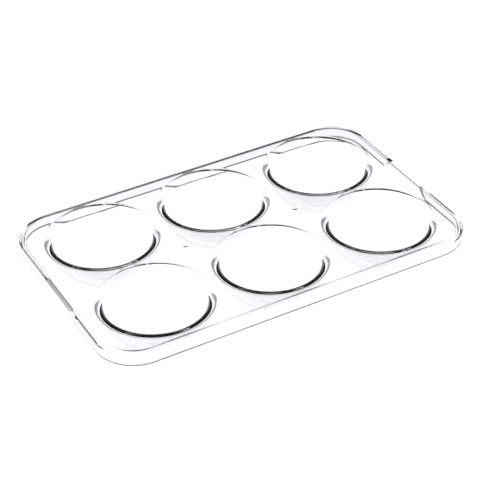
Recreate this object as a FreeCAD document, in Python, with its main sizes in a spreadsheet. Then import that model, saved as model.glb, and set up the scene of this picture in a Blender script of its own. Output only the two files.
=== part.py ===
import FreeCAD, Part
import math
import os
import Sketcher

# A clear moulded tray that holds six eggs in round-bottomed cups.
# Sizes are in millimetres. +Z is up and +X runs along the rows of three cups.
# The origin is under the middle of the tray, on the surface that the cups' feet stand on.
# Every piece is drawn with its own zero at the deck's top face and is lifted into place.

COLUMNS = {"left": -1, "middle": 0, "right": 1}
ROWS = {"front": -0.5, "back": 0.5}

SIZES = [
    ("cup_radius", 19.4, "inside radius of a cup's round bowl"),
    ("cup_wall", 2.15, "thickness of the bowl"),
    ("cup_rise", 1.4, "height of the bowl's centre above the deck's top face"),
    ("lip_radius", 3.2, "rounding from the deck down into a cup"),
    ("root_radius", 2.1, "rounding under the deck where a bowl begins"),
    ("cup_flange", 0.25, "flat ring of a cup outside its lip rounding"),
    ("foot_radius", 6.0, "small flat under each bowl"),
    ("gap_long", 3.27, "deck between neighbouring cup flanges along the length"),
    ("gap_short", 0.42, "deck between neighbouring cup flanges across the width"),
    ("border_long", 6.6, "from a cup's flange to the outer face of a short side"),
    ("border_short", 3.61, "from a cup's flange to the outer face of a long side"),
    ("deck_thickness", 2.05, "thickness of the flat deck"),
    ("corner_radius", 16.0, "outer corners of the tray seen from above"),
    ("skirt_depth", 6.4, "from the deck's top face to the skirt's lower edge"),
    ("skirt_wall", 1.95, "thickness of the skirt, measured level"),
    ("skirt_taper", 4.25, "degrees by which the skirt leans inwards towards its lower edge"),
    ("edge_radius", 2.35, "rounding of the skirt's top outer edge"),
    ("inner_radius", 0.85, "rounding inside the skirt, under the deck"),
    ("skirt_shelf", 0.1, "flat of the skirt between its roundings and the deck"),
    ("notch_roof", 2.9, "from the deck's top face down to the top of a finger notch"),
    ("notch_top", 21.0, "length of a finger notch at its top"),
    ("notch_mouth", 29.6, "length of a finger notch at the skirt's lower edge"),
    ("notch_radius", 1.0, "rounding of a finger notch's corners"),
    ("pip_radius", 0.9, "radius of the small round pips on the deck"),
    ("pip_height", 0.35, "height of the pips"),
    ("pip_rounding", 0.2, "rounding round the top of a pip"),
]

# Sizes that follow from the ones above. "inset" is a distance in from the tray's outline.
DERIVED = [
    ("bowl_radius", "Sizes.cup_radius + Sizes.cup_wall"),
    ("lip_start", "sqrt((Sizes.cup_radius + Sizes.lip_radius)^2 - (Sizes.cup_rise + Sizes.lip_radius)^2)"),
    ("root_height", "-Sizes.deck_thickness - Sizes.root_radius"),
    ("root_start", "sqrt((Derived.bowl_radius + Sizes.root_radius)^2 - (Sizes.cup_rise - Derived.root_height)^2)"),
    ("flange_radius", "Derived.lip_start + Sizes.cup_flange"),
    ("pitch_long", "2 * Derived.flange_radius + Sizes.gap_long"),
    ("pitch_short", "2 * Derived.flange_radius + Sizes.gap_short"),
    ("foot_drop", "sqrt(Derived.bowl_radius^2 - Sizes.foot_radius^2) - Sizes.cup_rise"),
    ("outer_length", "2 * (Derived.pitch_long + Derived.flange_radius + Sizes.border_long)"),
    ("outer_width", "Derived.pitch_short + 2 * (Derived.flange_radius + Sizes.border_short)"),
    ("lean", "tan(Sizes.skirt_taper * 1deg)"),
    ("wall_end_drop", "Sizes.edge_radius * (1 + sin(Sizes.skirt_taper * 1deg))"),
    ("wall_end_inset", "Sizes.edge_radius * (1 - cos(Sizes.skirt_taper * 1deg))"),
    ("inner_drop", "Sizes.deck_thickness + Sizes.inner_radius"),
    ("inner_inset", "Derived.wall_end_inset + (Derived.inner_drop - Derived.wall_end_drop) * Derived.lean"
     " + Sizes.skirt_wall + Sizes.inner_radius / cos(Sizes.skirt_taper * 1deg)"),
    ("deck_inset", "max(Sizes.edge_radius; Derived.inner_inset) + Sizes.skirt_shelf"),
    ("deck_length", "Derived.outer_length - 2 * Derived.deck_inset"),
    ("deck_width", "Derived.outer_width - 2 * Derived.deck_inset"),
    ("deck_corner", "Sizes.corner_radius - Derived.deck_inset"),
    ("hem_inset", "Derived.wall_end_inset + (Sizes.skirt_depth - Derived.wall_end_drop) * Derived.lean"),
]

START, END, CENTRE = 1, 2, 3
ORIGIN = (-1, 1)
AXIS_X, AXIS_Y = -1, -2


def make_sheet(doc):
    sheet = doc.addObject("Spreadsheet::Sheet", "Sizes")
    for row, (alias, number, meaning) in enumerate(SIZES, start=1):
        sheet.set(f"A{row}", alias)
        sheet.set(f"B{row}", str(number))
        sheet.setAlias(f"B{row}", alias)
        sheet.set(f"C{row}", meaning)
    doc.recompute()
    return sheet


def make_derived(doc):
    derived = doc.addObject("App::VarSet", "Derived")
    for name, _ in DERIVED:
        derived.addProperty("App::PropertyFloat", name)
    for name, formula in DERIVED:
        derived.setExpression(name, formula)
    doc.recompute()
    return derived


def new_body(doc, label, across="0", along="0"):
    """A body whose own zero is on the deck's top face, at a place given by two expressions."""
    body = doc.addObject("PartDesign::Body", label)
    body.Label = label
    body.setExpression("Placement.Base.x", along)
    body.setExpression("Placement.Base.y", across)
    body.setExpression("Placement.Base.z", "Derived.foot_drop")
    return body


def new_sketch(body, name, plane_role):
    plane = next(f for f in body.Origin.OriginFeatures if f.Role == plane_role)
    sketch = body.newObject("Sketcher::SketchObject", name)
    sketch.AttachmentSupport = [(plane, "")]
    sketch.MapMode = "FlatFace"
    return sketch


def point(x, y):
    return FreeCAD.Vector(x, y, 0)


def line(sketch, start, end):
    return sketch.addGeometry(Part.LineSegment(point(*start), point(*end)), False)


def arc(sketch, centre, radius, first, last):
    circle = Part.Circle(point(*centre), FreeCAD.Vector(0, 0, 1), radius)
    return sketch.addGeometry(Part.ArcOfCircle(circle, first, last), False)


def rule(sketch, *terms):
    return sketch.addConstraint(Sketcher.Constraint(*terms))


def bind(sketch, formula, *terms):
    """A dimension whose value comes from a formula of the sheet's sizes."""
    index = rule(sketch, *terms)
    sketch.setExpression(f"Constraints[{index}]", formula)


def rounded_rectangle(sketch, length, width, corner, formulas):
    """A rectangle with round corners, centred on the origin, begun in the middle of a short side."""
    x = length / 2
    y = width / 2
    straight_x = x - corner
    straight_y = y - corner
    quarter = math.pi / 2
    right_upper = line(sketch, (x, 0), (x, straight_y))
    corner_1 = arc(sketch, (straight_x, straight_y), corner, 0, quarter)
    top = line(sketch, (straight_x, y), (-straight_x, y))
    corner_2 = arc(sketch, (-straight_x, straight_y), corner, quarter, 2 * quarter)
    left = line(sketch, (-x, straight_y), (-x, -straight_y))
    corner_3 = arc(sketch, (-straight_x, -straight_y), corner, 2 * quarter, 3 * quarter)
    bottom = line(sketch, (-straight_x, -y), (straight_x, -y))
    corner_4 = arc(sketch, (straight_x, -straight_y), corner, -quarter, 0)
    right_lower = line(sketch, (x, -straight_y), (x, 0))
    ring = [right_upper, corner_1, top, corner_2, left, corner_3, bottom, corner_4, right_lower]
    for here, following in zip(ring, ring[1:]):
        rule(sketch, "Tangent", here, END, following, START)
    rule(sketch, "Coincident", right_lower, END, right_upper, START)
    rule(sketch, "PointOnObject", right_upper, START, AXIS_X)
    for side in (bottom, top):
        rule(sketch, "Horizontal", side)
    for side in (right_upper, right_lower, left):
        rule(sketch, "Vertical", side)
    for other in (corner_2, corner_3, corner_4):
        rule(sketch, "Equal", corner_1, other)
    rule(sketch, "Symmetric", left, END, corner_1, START, *ORIGIN)
    bind(sketch, formulas[0], "DistanceX", left, START, corner_1, START, length)
    bind(sketch, formulas[1], "DistanceY", bottom, START, top, END, width)
    bind(sketch, formulas[2], "Radius", corner_1, corner)


def pad_down(body, sketch, name, formula):
    pad = body.newObject("PartDesign::Pad", name)
    pad.Profile = sketch
    pad.Reversed = True
    pad.setExpression("Length", formula)
    body.Document.recompute()
    return pad


def round_edges(body, base, name, wanted, formula):
    """Round the edges of a feature that the test picks out."""
    edges = enumerate(base.Shape.Edges, start=1)
    names = [f"Edge{i}" for i, edge in edges if wanted(edge)]
    fillet = body.newObject("PartDesign::Fillet", name)
    fillet.Base = (base, names)
    fillet.setExpression("Radius", formula)
    body.Document.recompute()
    return fillet


def make_deck(doc, sizes, derived):
    """The flat plate between the cups, inside the skirt."""
    body = new_body(doc, "deck")
    sketch = new_sketch(body, "DeckOutline", "XY_Plane")
    rounded_rectangle(
        sketch, derived.deck_length, derived.deck_width, derived.deck_corner,
        ["Derived.deck_length", "Derived.deck_width", "Derived.deck_corner"],
    )
    for column in COLUMNS.values():
        for row in ROWS.values():
            x = column * derived.pitch_long
            y = row * derived.pitch_short
            circle = Part.Circle(point(x, y), FreeCAD.Vector(0, 0, 1), derived.flange_radius)
            hole = sketch.addGeometry(circle, False)
            bind(sketch, "Derived.flange_radius", "Radius", hole, derived.flange_radius)
            bind(sketch, f"{row} * Derived.pitch_short", "DistanceY", *ORIGIN, hole, CENTRE, y)
            if column:
                bind(sketch, f"{column} * Derived.pitch_long", "DistanceX", *ORIGIN, hole, CENTRE, x)
            else:
                rule(sketch, "PointOnObject", hole, CENTRE, AXIS_Y)
    pad_down(body, sketch, "DeckPlate", "Sizes.deck_thickness")
    return body


def notch_corner(edge, sizes):
    """Whether an edge of the skirt is a corner of a finger notch."""
    first = edge.Vertexes[0].Point
    last = edge.Vertexes[-1].Point
    runs_through_wall = abs(first.y - last.y) < 1e-6 and abs(first.z - last.z) < 1e-6
    corners = (sizes.notch_top / 2, sizes.notch_mouth / 2)
    return runs_through_wall and any(abs(abs(first.y) - corner) < 1e-3 for corner in corners)


def skirt_section(sketch, sizes, derived):
    """The skirt's section: its rounded top edge, leaning wall, lower edge and inner rounding."""
    outside = derived.outer_length / 2
    slope = math.radians(sizes.skirt_taper)
    quarter = math.pi / 2
    edge_centre = (outside - sizes.edge_radius, -sizes.edge_radius)
    wall_end = (outside - derived.wall_end_inset, -derived.wall_end_drop)
    hem_out = (outside - derived.hem_inset, -sizes.skirt_depth)
    hem_in = (hem_out[0] - sizes.skirt_wall, -sizes.skirt_depth)
    inner_centre = (outside - derived.inner_inset, -derived.inner_drop)
    inner_end = (
        inner_centre[0] + sizes.inner_radius * math.cos(slope),
        inner_centre[1] - sizes.inner_radius * math.sin(slope),
    )
    shelf = outside - derived.deck_inset
    under = -sizes.deck_thickness
    top = line(sketch, (shelf, 0), (edge_centre[0], 0))
    edge = arc(sketch, edge_centre, sizes.edge_radius, -slope, quarter)
    wall = line(sketch, wall_end, hem_out)
    hem = line(sketch, hem_out, hem_in)
    inner_wall = line(sketch, hem_in, inner_end)
    inner = arc(sketch, inner_centre, sizes.inner_radius, -slope, quarter)
    ceiling = line(sketch, (inner_centre[0], under), (shelf, under))
    side = line(sketch, (shelf, under), (shelf, 0))
    rule(sketch, "Tangent", top, END, edge, END)
    rule(sketch, "Tangent", edge, START, wall, START)
    rule(sketch, "Coincident", wall, END, hem, START)
    rule(sketch, "Coincident", hem, END, inner_wall, START)
    rule(sketch, "Tangent", inner_wall, END, inner, START)
    rule(sketch, "Tangent", inner, END, ceiling, START)
    rule(sketch, "Coincident", ceiling, END, side, START)
    rule(sketch, "Coincident", side, END, top, START)
    rule(sketch, "PointOnObject", top, START, AXIS_X)
    for level in (top, hem, ceiling):
        rule(sketch, "Horizontal", level)
    rule(sketch, "Vertical", side)
    rule(sketch, "Parallel", wall, inner_wall)
    bind(sketch, "Sizes.edge_radius", "Radius", edge, sizes.edge_radius)
    bind(sketch, "Sizes.inner_radius", "Radius", inner, sizes.inner_radius)
    bind(sketch, "Derived.outer_length / 2 - Derived.deck_inset",
         "DistanceX", *ORIGIN, top, START, shelf)
    bind(sketch, "Derived.outer_length / 2 - Sizes.edge_radius",
         "DistanceX", *ORIGIN, edge, CENTRE, edge_centre[0])
    bind(sketch, "Derived.outer_length / 2 - Derived.hem_inset",
         "DistanceX", *ORIGIN, wall, END, hem_out[0])
    bind(sketch, "Sizes.skirt_depth", "DistanceY", wall, END, *ORIGIN, sizes.skirt_depth)
    bind(sketch, "Sizes.skirt_wall", "DistanceX", hem, END, hem, START, sizes.skirt_wall)
    bind(sketch, "Sizes.deck_thickness", "DistanceY", side, START, side, END, sizes.deck_thickness)


def make_skirt(doc, sizes, derived):
    """The wall round the tray, with a rounded top edge and a finger notch in each short side."""
    body = new_body(doc, "skirt")
    path = new_sketch(body, "SkirtPath", "XY_Plane")
    rounded_rectangle(
        path, derived.deck_length, derived.deck_width, derived.deck_corner,
        ["Derived.deck_length", "Derived.deck_width", "Derived.deck_corner"],
    )
    section = new_sketch(body, "SkirtSection", "XZ_Plane")
    skirt_section(section, sizes, derived)
    doc.recompute()
    swept = body.newObject("PartDesign::AdditivePipe", "SkirtWall")
    swept.Profile = section
    swept.Spine = (path, [f"Edge{i}" for i in range(1, len(path.Shape.Edges) + 1)])
    doc.recompute()

    notch = new_sketch(body, "NotchOutline", "YZ_Plane")
    floor = -sizes.skirt_depth
    roof = -sizes.notch_roof
    corners = [
        (-sizes.notch_mouth / 2, floor), (sizes.notch_mouth / 2, floor),
        (sizes.notch_top / 2, roof), (-sizes.notch_top / 2, roof),
    ]
    sides = [line(notch, a, b) for a, b in zip(corners, corners[1:] + corners[:1])]
    for here, following in zip(sides, sides[1:] + sides[:1]):
        rule(notch, "Coincident", here, END, following, START)
    mouth, _, top, _ = sides
    rule(notch, "Symmetric", mouth, START, mouth, END, AXIS_Y)
    rule(notch, "Symmetric", top, START, top, END, AXIS_Y)
    bind(notch, "Sizes.notch_mouth", "DistanceX", mouth, START, mouth, END, sizes.notch_mouth)
    bind(notch, "Sizes.notch_top", "DistanceX", top, END, top, START, sizes.notch_top)
    bind(notch, "-Sizes.skirt_depth", "DistanceY", *ORIGIN, mouth, START, floor)
    bind(notch, "-Sizes.notch_roof", "DistanceY", *ORIGIN, top, END, roof)
    cut = body.newObject("PartDesign::Pocket", "Notches")
    cut.Profile = notch
    cut.Type = "ThroughAll"
    cut.Midplane = True
    doc.recompute()
    round_edges(
        body, cut, "NotchCorners", lambda edge: notch_corner(edge, sizes), "Sizes.notch_radius",
    )
    return body


def make_cup(doc, label, column, row, sizes, derived):
    """A round bowl turned about its own axis, with its lip, a flat flange and a small foot."""
    body = new_body(
        doc, label, across=f"{row} * Derived.pitch_short", along=f"{column} * Derived.pitch_long",
    )
    sketch = new_sketch(body, f"Profile_{label}", "XZ_Plane")
    centre = (0, sizes.cup_rise)
    lip_centre = (derived.lip_start, -sizes.lip_radius)
    root_height = derived.root_height
    root_start = derived.root_start
    root_first = math.acos((derived.flange_radius - root_start) / sizes.root_radius)
    root_top = root_height + sizes.root_radius * math.sin(root_first)
    lip_turn = math.atan2(sizes.cup_rise + sizes.lip_radius, derived.lip_start)
    root_turn = math.atan2(sizes.cup_rise - root_height, root_start)
    foot_turn = math.acos(sizes.foot_radius / derived.bowl_radius)
    flange = derived.flange_radius
    foot = -derived.foot_drop
    floor = sizes.cup_rise - sizes.cup_radius
    inside = arc(sketch, centre, sizes.cup_radius, -math.pi / 2, -lip_turn)
    lip = arc(sketch, lip_centre, sizes.lip_radius, math.pi / 2, math.pi - lip_turn)
    top = line(sketch, (derived.lip_start, 0), (flange, 0))
    edge = line(sketch, (flange, 0), (flange, root_top))
    root = arc(
        sketch, (root_start, root_height), sizes.root_radius, root_first, math.pi - root_turn,
    )
    outside = arc(sketch, centre, derived.bowl_radius, -foot_turn, -root_turn)
    sole = line(sketch, (sizes.foot_radius, foot), (0, foot))
    axis = line(sketch, (0, foot), (0, floor))

    rule(sketch, "PointOnObject", inside, CENTRE, AXIS_Y)
    rule(sketch, "Coincident", inside, CENTRE, outside, CENTRE)
    rule(sketch, "Tangent", lip, END, inside, END)
    rule(sketch, "Tangent", lip, START, top, START)
    rule(sketch, "Coincident", top, END, edge, START)
    rule(sketch, "Coincident", edge, END, root, START)
    rule(sketch, "Tangent", root, END, outside, END)
    rule(sketch, "Coincident", outside, START, sole, START)
    rule(sketch, "Coincident", sole, END, axis, START)
    rule(sketch, "Coincident", axis, END, inside, START)
    rule(sketch, "PointOnObject", top, START, AXIS_X)
    rule(sketch, "Horizontal", top)
    rule(sketch, "Vertical", edge)
    rule(sketch, "Horizontal", sole)
    rule(sketch, "PointOnObject", axis, START, AXIS_Y)
    rule(sketch, "PointOnObject", axis, END, AXIS_Y)
    bind(sketch, "Sizes.cup_rise", "DistanceY", *ORIGIN, inside, CENTRE, sizes.cup_rise)
    bind(sketch, "Sizes.cup_radius", "Radius", inside, sizes.cup_radius)
    bind(sketch, "Derived.bowl_radius", "Radius", outside, derived.bowl_radius)
    bind(sketch, "Sizes.lip_radius", "Radius", lip, sizes.lip_radius)
    bind(sketch, "Sizes.root_radius", "Radius", root, sizes.root_radius)
    bind(sketch, "Derived.flange_radius", "DistanceX", *ORIGIN, edge, START, flange)
    bind(sketch, "Derived.root_height", "DistanceY", *ORIGIN, root, CENTRE, root_height)
    bind(sketch, "Sizes.foot_radius", "DistanceX", *ORIGIN, sole, START, sizes.foot_radius)
    turned = body.newObject("PartDesign::Revolution", f"Bowl_{label}")
    turned.Profile = sketch
    turned.ReferenceAxis = (sketch, ["V_Axis"])
    turned.Angle = 360
    doc.recompute()
    return body


def make_pip(doc, label, side, sizes):
    """A low round pip on the deck, half way between two columns of cups."""
    body = new_body(doc, label, along=f"{side} * Derived.pitch_long / 2")
    sketch = new_sketch(body, f"Outline_{label}", "XY_Plane")
    circle = Part.Circle(point(0, 0), FreeCAD.Vector(0, 0, 1), sizes.pip_radius)
    rim = sketch.addGeometry(circle, False)
    rule(sketch, "Coincident", rim, CENTRE, *ORIGIN)
    bind(sketch, "Sizes.pip_radius", "Radius", rim, sizes.pip_radius)
    pad = body.newObject("PartDesign::Pad", f"Pad_{label}")
    pad.Profile = sketch
    pad.setExpression("Length", "Sizes.pip_height")
    doc.recompute()
    round_edges(
        body, pad, f"Round_{label}", lambda edge: all(v.Z > 1e-6 for v in edge.Vertexes),
        "Sizes.pip_rounding",
    )
    return body


def check(doc, bodies):
    for item in doc.Objects:
        if "Invalid" in item.State or "Error" in item.State:
            raise RuntimeError(f"{item.Name} did not build: {item.State}")
    for body in bodies:
        if body.Shape.isNull() or not body.Shape.isValid() or len(body.Shape.Solids) != 1:
            raise RuntimeError(f"{body.Label} is not one valid solid")


def main():
    doc = FreeCAD.newDocument("egg_tray")
    sizes = make_sheet(doc)
    derived = make_derived(doc)
    bodies = [make_deck(doc, sizes, derived), make_skirt(doc, sizes, derived)]
    for row_name, row in ROWS.items():
        for column_name, column in COLUMNS.items():
            label = f"egg_cup_{row_name}_{column_name}"
            bodies.append(make_cup(doc, label, column, row, sizes, derived))
    for side_name, side in (("left", -1), ("right", 1)):
        bodies.append(make_pip(doc, f"deck_pip_{side_name}", side, sizes))
    doc.recompute()
    check(doc, bodies)
    os.makedirs("parts", exist_ok=True)
    for body in bodies:
        box = body.Shape.optimalBoundingBox(False, False)
        body.Shape.exportStep(f"parts/{body.Label}.step")
        print(f"{body.Label}: {box.XLength:.2f} x {box.YLength:.2f} x {box.ZLength:.2f} mm, "
              f"{body.Shape.Volume / 1000:.2f} cm3, z {box.ZMin:.2f} to {box.ZMax:.2f}")


main()
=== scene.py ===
import math

import bmesh
import bpy
from mathutils import Matrix, Vector
from mathutils.geometry import delaunay_2d_cdt


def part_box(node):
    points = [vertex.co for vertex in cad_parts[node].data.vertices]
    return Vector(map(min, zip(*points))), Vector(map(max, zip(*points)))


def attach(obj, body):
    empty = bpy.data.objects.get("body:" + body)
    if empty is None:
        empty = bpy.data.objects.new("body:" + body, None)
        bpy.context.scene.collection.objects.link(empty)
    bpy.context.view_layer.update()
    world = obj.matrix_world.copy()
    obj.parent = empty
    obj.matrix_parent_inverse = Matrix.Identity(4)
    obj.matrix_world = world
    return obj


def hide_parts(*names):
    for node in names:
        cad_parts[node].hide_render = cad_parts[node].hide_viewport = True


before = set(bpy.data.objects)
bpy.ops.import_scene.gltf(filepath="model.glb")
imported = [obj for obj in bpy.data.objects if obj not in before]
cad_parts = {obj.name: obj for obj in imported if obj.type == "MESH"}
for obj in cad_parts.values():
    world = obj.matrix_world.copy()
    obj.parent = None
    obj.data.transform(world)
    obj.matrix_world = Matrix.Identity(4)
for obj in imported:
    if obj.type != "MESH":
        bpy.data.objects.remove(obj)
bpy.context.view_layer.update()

# A clear moulded egg tray. Everything is in metres, in the frame of the CAD model.
# The deck, skirt, cups and pips are skins of one clear moulding: they meet edge to edge,
# with no wall between them, so light passes from one to the next as it does in the real tray.

MM = 0.001
CUP_RADIUS = 19.4 * MM
CUP_WALL = 2.15 * MM
CUP_RISE = 1.4 * MM
LIP_RADIUS = 3.2 * MM
ROOT_RADIUS = 2.1 * MM
FOOT_RADIUS = 6.0 * MM
CORNER_RADIUS = 16.0 * MM
SKIRT_WALL = 1.95 * MM
SKIRT_TAPER = math.radians(4.25)
EDGE_RADIUS = 2.35 * MM
INNER_RADIUS = 0.85 * MM
SKIRT_SHELF = 0.1 * MM
NOTCH_ROOF = 2.9 * MM
NOTCH_TOP = 21.0 * MM
NOTCH_MOUTH = 29.6 * MM
NOTCH_RADIUS = 1.0 * MM
PIP_RADIUS = 0.9 * MM
PIP_HEIGHT = 0.35 * MM
PIP_ROUNDING = 0.2 * MM
HEM_RADIUS = 0.26 * MM     # softened lower edges of the skirt

AROUND = 128               # points round a cup
PIP_AROUND = 48            # points round a pip
BOWL_STEPS = 28
LIP_STEPS = 16

# From the CAD model: the heights of the deck and the skirt.
deck_low, deck_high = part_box("deck")
skirt_low, skirt_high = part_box("skirt")
TOP = deck_high.z
THICKNESS = deck_high.z - deck_low.z
DEPTH = deck_high.z - skirt_low.z
CUPS = sorted(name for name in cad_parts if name.startswith("egg_cup"))
PIPS = sorted(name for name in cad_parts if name.startswith("deck_pip"))


def middle(node):
    low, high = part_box(node)
    return (low.x + high.x) / 2, (low.y + high.y) / 2


FLANGE_RADIUS = (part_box(CUPS[0])[1].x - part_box(CUPS[0])[0].x) / 2


def arc(centre, radius, first, last, steps):
    """Points along an arc, angles in radians."""
    points = []
    for i in range(steps + 1):
        angle = first + (last - first) * i / steps
        points.append((centre[0] + radius * math.cos(angle), centre[1] + radius * math.sin(angle)))
    return points


def ring_points(centre, radius, count, z):
    return [
        Vector((
            centre[0] + radius * math.cos(2 * math.pi * i / count),
            centre[1] + radius * math.sin(2 * math.pi * i / count), z,
        ))
        for i in range(count)
    ]


def new_piece(name, bm):
    mesh = bpy.data.meshes.new(name)
    bm.to_mesh(mesh)
    bm.free()
    for polygon in mesh.polygons:
        polygon.use_smooth = True
    mesh.set_sharp_from_angle(angle=math.radians(30))
    piece = bpy.data.objects.new(name, mesh)
    bpy.context.scene.collection.objects.link(piece)
    return piece


def bridge(bm, first, second):
    """Quads between two rows of vertices."""
    for i in range(len(first) - 1):
        bm.faces.new([first[i], first[i + 1], second[i + 1], second[i]])


def lathe(bm, centre, profile, count, outward):
    """Turn a profile, given from its rim to the axis, into a skin. outward sets the side it faces."""
    rows = []
    for radius, z in profile:
        if radius < 1e-9:
            rows.append([bm.verts.new((centre[0], centre[1], z))])
        else:
            rows.append([bm.verts.new(p) for p in ring_points(centre, radius, count, z)])
    for upper, lower in zip(rows, rows[1:]):
        for i in range(count):
            j = (i + 1) % count
            if len(lower) == 1:
                corners = [upper[i], upper[j], lower[0]]
            else:
                corners = [upper[i], upper[j], lower[j], lower[i]]
            if outward:
                corners.reverse()
            bm.faces.new(corners)


def cup_profiles():
    """The upper and lower skins of a cup, from the flange's rim to the axis; z is 0 at the deck."""
    bowl = CUP_RADIUS + CUP_WALL
    lip_start = math.sqrt((CUP_RADIUS + LIP_RADIUS)**2 - (CUP_RISE + LIP_RADIUS)**2)
    lip_turn = math.atan2(CUP_RISE + LIP_RADIUS, lip_start)
    root_drop = THICKNESS + ROOT_RADIUS + CUP_RISE
    root_start = math.sqrt((bowl + ROOT_RADIUS)**2 - root_drop**2)
    root_turn = math.atan2(root_drop, root_start)
    foot_turn = math.acos(FOOT_RADIUS / bowl)
    half = math.pi / 2
    upper = [(FLANGE_RADIUS, 0.0)]
    upper += arc((lip_start, -LIP_RADIUS), LIP_RADIUS, half, math.pi - lip_turn, LIP_STEPS)
    upper += arc((0, CUP_RISE), CUP_RADIUS, -lip_turn, -half, BOWL_STEPS)[1:-1]
    upper += [(0.0, CUP_RISE - CUP_RADIUS)]
    lower = [(FLANGE_RADIUS, -THICKNESS)]
    root_first = math.acos(min(0.0, (FLANGE_RADIUS - root_start) / ROOT_RADIUS))
    lower += arc(
        (root_start, -THICKNESS - ROOT_RADIUS), ROOT_RADIUS, root_first, math.pi - root_turn, LIP_STEPS,
    )
    lower += arc((0, CUP_RISE), bowl, -root_turn, -foot_turn, BOWL_STEPS)[1:]
    foot = lower[-1][1]
    lower += [(FOOT_RADIUS * 0.5, foot), (0.0, foot)]
    return upper, lower


def make_cup(name):
    bm = bmesh.new()
    centre = middle(name)
    upper, lower = cup_profiles()
    lathe(bm, centre, [(r, z + TOP) for r, z in upper], AROUND, outward=False)
    lathe(bm, centre, [(r, z + TOP) for r, z in lower], AROUND, outward=True)
    return new_piece(name + "_skin", bm)


def make_pip(name):
    bm = bmesh.new()
    profile = [(PIP_RADIUS, 0.0)]
    profile += arc(
        (PIP_RADIUS - PIP_ROUNDING, PIP_HEIGHT - PIP_ROUNDING), PIP_ROUNDING, 0, math.pi / 2, 8,
    )
    profile += [(0.0, PIP_HEIGHT)]
    lathe(bm, middle(name), [(r, z + TOP) for r, z in profile], PIP_AROUND, outward=False)
    return new_piece(name + "_skin", bm)


def round_corners(points, radius, steps):
    """A polyline with its inner corners rounded."""
    result = [points[0]]
    for before, here, after in zip(points, points[1:], points[2:]):
        a = (Vector(before) - Vector(here)).normalized()
        b = (Vector(after) - Vector(here)).normalized()
        turn = math.pi - a.angle(b)
        reach = radius * math.tan(turn / 2)
        start = Vector(here) + a * reach
        end = Vector(here) + b * reach
        for i in range(steps + 1):
            share = i / steps
            result.append(tuple((1 - share)**2 * start + 2 * share * (1 - share) * Vector(here)
                                + share**2 * end))
    result.append(points[-1])
    return result


def notch_line():
    """(distance from the middle of a short side, rise of the skirt's lower edge) across a notch."""
    half_top = NOTCH_TOP / 2
    half_mouth = NOTCH_MOUTH / 2
    reach = half_mouth + 3 * NOTCH_RADIUS
    height = DEPTH - NOTCH_ROOF
    corners = [
        (-reach, 0.0), (-half_mouth, 0.0), (-half_top, height),
        (half_top, height), (half_mouth, 0.0), (reach, 0.0),
    ]
    return round_corners(corners, NOTCH_RADIUS, 6)


def stations():
    """Round the tray: (corner centre or straight point, outward direction, rise of the hem)."""
    x = skirt_high.x - CORNER_RADIUS
    y = skirt_high.y - CORNER_RADIUS
    quarter = math.pi / 2
    steps = 28
    found = []
    for turn, (cx, cy) in enumerate([(x, y), (-x, y), (-x, -y), (x, -y)]):
        for i in range(steps + 1):
            angle = turn * quarter + quarter * i / steps
            found.append(((cx, cy), (math.cos(angle), math.sin(angle)), 0.0))
        if turn in (1, 3):
            side = -1 if turn == 1 else 1
            for along, rise in notch_line():
                found.append(((side * x, side * along), (side, 0.0), rise))
    return found


WALL_END = -EDGE_RADIUS * (1 + math.sin(SKIRT_TAPER))


def wall_at(z):
    """How far out the skirt's leaning outer face is, at a height below its rounded top edge."""
    start = CORNER_RADIUS - EDGE_RADIUS * (1 - math.cos(SKIRT_TAPER))
    return start + (z - WALL_END) * math.tan(SKIRT_TAPER)


INNER_HEIGHT = -THICKNESS - INNER_RADIUS
INNER_CENTRE = wall_at(INNER_HEIGHT) - SKIRT_WALL - INNER_RADIUS / math.cos(SKIRT_TAPER)
DECK_EDGE = min(CORNER_RADIUS - EDGE_RADIUS, INNER_CENTRE) - SKIRT_SHELF


def outer_at(z):
    """The skirt's outer face at any height."""
    if z <= WALL_END:
        return wall_at(z)
    return CORNER_RADIUS - EDGE_RADIUS + math.sqrt(max(0.0, EDGE_RADIUS**2 - (z + EDGE_RADIUS)**2))


def inner_at(z):
    """The skirt's inner face at any height, with its rounding under the deck."""
    if z <= INNER_HEIGHT - INNER_RADIUS * math.sin(SKIRT_TAPER):
        return wall_at(z) - SKIRT_WALL
    return INNER_CENTRE + math.sqrt(max(0.0, INNER_RADIUS**2 - (z - INNER_HEIGHT)**2))


def soft_corner(start, corner, end):
    """A small rounding between two points, bent towards a corner."""
    start, corner, end = Vector(start), Vector(corner), Vector(end)
    points = []
    for i in range(7):
        share = i / 6
        points.append(tuple(
            (1 - share)**2 * start + 2 * share * (1 - share) * corner + share**2 * end
        ))
    return points


def skirt_section(rise):
    """The skirt's section from the deck's top face round its lower edge to the deck's underside."""
    hem = -DEPTH + rise
    quarter = math.pi / 2
    outside = outer_at(hem)
    inside = inner_at(hem)
    inner_soft = max(0.0, min(HEM_RADIUS, INNER_HEIGHT - INNER_RADIUS - hem))
    section = [(DECK_EDGE, 0.0)]
    for _, z in arc((0, -EDGE_RADIUS), EDGE_RADIUS, quarter, -SKIRT_TAPER, 20):
        z = max(z, hem + HEM_RADIUS)
        section.append((outer_at(z), z))
    section += soft_corner(
        (outer_at(hem + HEM_RADIUS), hem + HEM_RADIUS), (outside, hem), (outside - HEM_RADIUS, hem),
    )
    section += soft_corner(
        (inside + inner_soft, hem), (inside, hem), (inner_at(hem + inner_soft), hem + inner_soft),
    )
    for _, z in arc((0, INNER_HEIGHT), INNER_RADIUS, -SKIRT_TAPER, quarter, 12)[:-1]:
        z = max(z, hem + inner_soft)
        section.append((inner_at(z), z))
    return section + [(INNER_CENTRE, -THICKNESS), (DECK_EDGE, -THICKNESS)]


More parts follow.
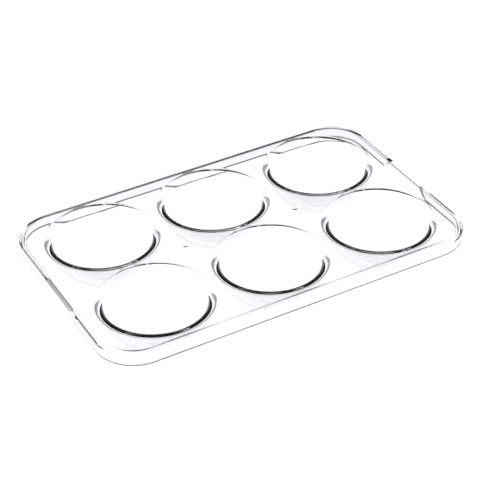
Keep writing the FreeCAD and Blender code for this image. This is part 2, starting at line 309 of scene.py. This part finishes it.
def make_skirt():
    bm = bmesh.new()
    rows = []
    for (cx, cy), (dx, dy), rise in stations():
        rows.append([
            bm.verts.new((cx + dx * out, cy + dy * out, TOP + z)) for out, z in skirt_section(rise)
        ])
    for here, following in zip(rows, rows[1:] + rows[:1]):
        bridge(bm, here, following)
    bmesh.ops.dissolve_degenerate(bm, dist=1e-7, edges=bm.edges)
    return new_piece("skirt_skin", bm)


def make_deck():
    """The flat deck: two faces with holes where the cups and pips are."""
    rim = [(cx + dx * DECK_EDGE, cy + dy * DECK_EDGE) for (cx, cy), (dx, dy), _ in stations()]
    bm = bmesh.new()
    for z, upwards, with_pips in ((TOP, True, True), (TOP - THICKNESS, False, False)):
        loops = [rim]
        holes = [(middle(name), FLANGE_RADIUS, AROUND) for name in CUPS]
        if with_pips:
            holes += [(middle(name), PIP_RADIUS, PIP_AROUND) for name in PIPS]
        for centre, radius, count in holes:
            loops.append([(p.x, p.y) for p in ring_points(centre, radius, count, 0)])
        flat = []
        edges = []
        for loop in loops:
            base = len(flat)
            flat += [Vector(p) for p in loop]
            edges += [(base + i, base + (i + 1) % len(loop)) for i in range(len(loop))]
        verts, _, faces, *_ = delaunay_2d_cdt(flat, edges, [], 1, 1e-9)
        made = [bm.verts.new((v.x, v.y, z)) for v in verts]
        for face in faces:
            cx = sum(verts[i].x for i in face) / len(face)
            cy = sum(verts[i].y for i in face) / len(face)
            if any(math.hypot(cx - c[0], cy - c[1]) < r * math.cos(math.pi / n) for c, r, n in holes):
                continue
            corners = [made[i] for i in (face if upwards else reversed(face))]
            bm.faces.new(corners)
    return new_piece("deck_skin", bm)


def clear_plastic():
    """Clear moulded polystyrene: a faint cool tint, and the slight waviness and haze of a moulding."""
    material = bpy.data.materials.new("clear_plastic")
    material.use_nodes = True
    tree = material.node_tree
    nodes, links = tree.nodes, tree.links
    shader = nodes["Principled BSDF"]
    shader.inputs["Transmission Weight"].default_value = 1.0
    shader.inputs["IOR"].default_value = 1.56
    place = nodes.new("ShaderNodeTexCoord")

    flow = nodes.new("ShaderNodeTexNoise")
    flow.inputs["Scale"].default_value = 45.0
    flow.inputs["Detail"].default_value = 2.0
    links.new(place.outputs["Object"], flow.inputs["Vector"])
    tint = nodes.new("ShaderNodeValToRGB")
    tint.color_ramp.elements[0].color = (0.958, 0.955, 0.978, 1)
    tint.color_ramp.elements[1].color = (0.974, 0.966, 0.978, 1)
    links.new(flow.outputs["Fac"], tint.inputs["Fac"])
    links.new(tint.outputs["Color"], shader.inputs["Base Color"])
    wave = nodes.new("ShaderNodeBump")
    wave.inputs["Strength"].default_value = 0.1
    wave.inputs["Distance"].default_value = 0.00004
    links.new(flow.outputs["Fac"], wave.inputs["Height"])
    links.new(wave.outputs["Normal"], shader.inputs["Normal"])

    haze = nodes.new("ShaderNodeTexNoise")
    haze.inputs["Scale"].default_value = 260.0
    haze.inputs["Detail"].default_value = 4.0
    links.new(place.outputs["Object"], haze.inputs["Vector"])
    polish = nodes.new("ShaderNodeMapRange")
    polish.inputs["From Min"].default_value = 0.3
    polish.inputs["From Max"].default_value = 0.8
    polish.inputs["To Min"].default_value = 0.0
    polish.inputs["To Max"].default_value = 0.008
    links.new(haze.outputs["Fac"], polish.inputs["Value"])
    links.new(polish.outputs["Result"], shader.inputs["Roughness"])
    return material


plastic = clear_plastic()
pieces = [(make_deck(), "deck"), (make_skirt(), "skirt")]
pieces += [(make_cup(name), name) for name in CUPS]
pieces += [(make_pip(name), name) for name in PIPS]
for piece, node in pieces:
    piece.data.materials.append(plastic)
    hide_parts(node)
    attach(piece, "root")


FLOOR_HALF = 3.0           # metres
FLOOR_DROP = 0.2 * MM      # keeps the floor clear of the feet


def make_floor():
    """A plain pale floor that gives its own light, so the tray casts no shadow on it."""
    bm = bmesh.new()
    corners = [
        bm.verts.new((x * FLOOR_HALF, y * FLOOR_HALF, -FLOOR_DROP))
        for x, y in ((-1, -1), (1, -1), (1, 1), (-1, 1))
    ]
    bm.faces.new(corners)
    floor = new_piece("floor", bm)
    material = bpy.data.materials.new("pale_floor")
    material.use_nodes = True
    tree = material.node_tree
    tree.nodes.clear()
    glow = tree.nodes.new("ShaderNodeEmission")
    glow.inputs["Strength"].default_value = 1.2
    out = tree.nodes.new("ShaderNodeOutputMaterial")
    tree.links.new(glow.outputs[0], out.inputs["Surface"])
    floor.data.materials.append(material)


make_floor()

BRIGHT_SIDE = (-0.5, 0.0, 0.85)   # where the soft studio light is strongest


def make_world():
    """Soft light all round, brightening smoothly towards one side."""
    world = bpy.data.worlds.new("studio")
    bpy.context.scene.world = world
    world.use_nodes = True
    nodes, links = world.node_tree.nodes, world.node_tree.links
    place = nodes.new("ShaderNodeTexCoord")
    toward = nodes.new("ShaderNodeVectorMath")
    toward.operation = "DOT_PRODUCT"
    toward.inputs[1].default_value = Vector(BRIGHT_SIDE).normalized()
    links.new(place.outputs["Generated"], toward.inputs[0])
    fade = nodes.new("ShaderNodeMapRange")
    fade.interpolation_type = "SMOOTHSTEP"
    fade.inputs["From Min"].default_value = 0.3
    fade.inputs["From Max"].default_value = 1.0
    fade.inputs["To Min"].default_value = 0.2
    fade.inputs["To Max"].default_value = 0.75
    links.new(toward.outputs["Value"], fade.inputs["Value"])
    glow = nodes["Background"]
    glow.inputs["Color"].default_value = (0.96, 0.96, 1.0, 1)
    links.new(fade.outputs["Result"], glow.inputs["Strength"])


make_world()

CAMERA_AZIMUTH = math.radians(-28.7322)
CAMERA_ELEVATION = math.radians(35.9297)
CAMERA_ROLL = math.radians(-1.2899)
CAMERA_TARGET = Vector((-2.717 * MM, -13.627 * MM, TOP - 0.89 * MM))
CAMERA_DISTANCE = 590.87 * MM
CAMERA_LENS = 113.11
CAMERA_SHIFT = (-0.00494, -0.00205)


def make_camera():
    data = bpy.data.cameras.new("camera")
    data.lens = CAMERA_LENS
    data.sensor_width = 36
    data.shift_x, data.shift_y = CAMERA_SHIFT
    data.clip_start = 0.01
    data.clip_end = 100
    camera = bpy.data.objects.new("camera", data)
    back = Vector((
        math.sin(CAMERA_AZIMUTH) * math.cos(CAMERA_ELEVATION),
        -math.cos(CAMERA_AZIMUTH) * math.cos(CAMERA_ELEVATION),
        math.sin(CAMERA_ELEVATION),
    ))
    right = Vector((0, 0, 1)).cross(back).normalized()
    up = back.cross(right)
    rolled_right = math.cos(CAMERA_ROLL) * right + math.sin(CAMERA_ROLL) * up
    rolled_up = math.cos(CAMERA_ROLL) * up - math.sin(CAMERA_ROLL) * right
    place = Matrix((rolled_right, rolled_up, back)).transposed().to_4x4()
    place.translation = CAMERA_TARGET + CAMERA_DISTANCE * back
    camera.matrix_world = place
    bpy.context.scene.collection.objects.link(camera)
    bpy.context.scene.camera = camera


make_camera()
bpy.context.scene.view_settings.view_transform = "Standard"
bpy.context.view_layer.update()
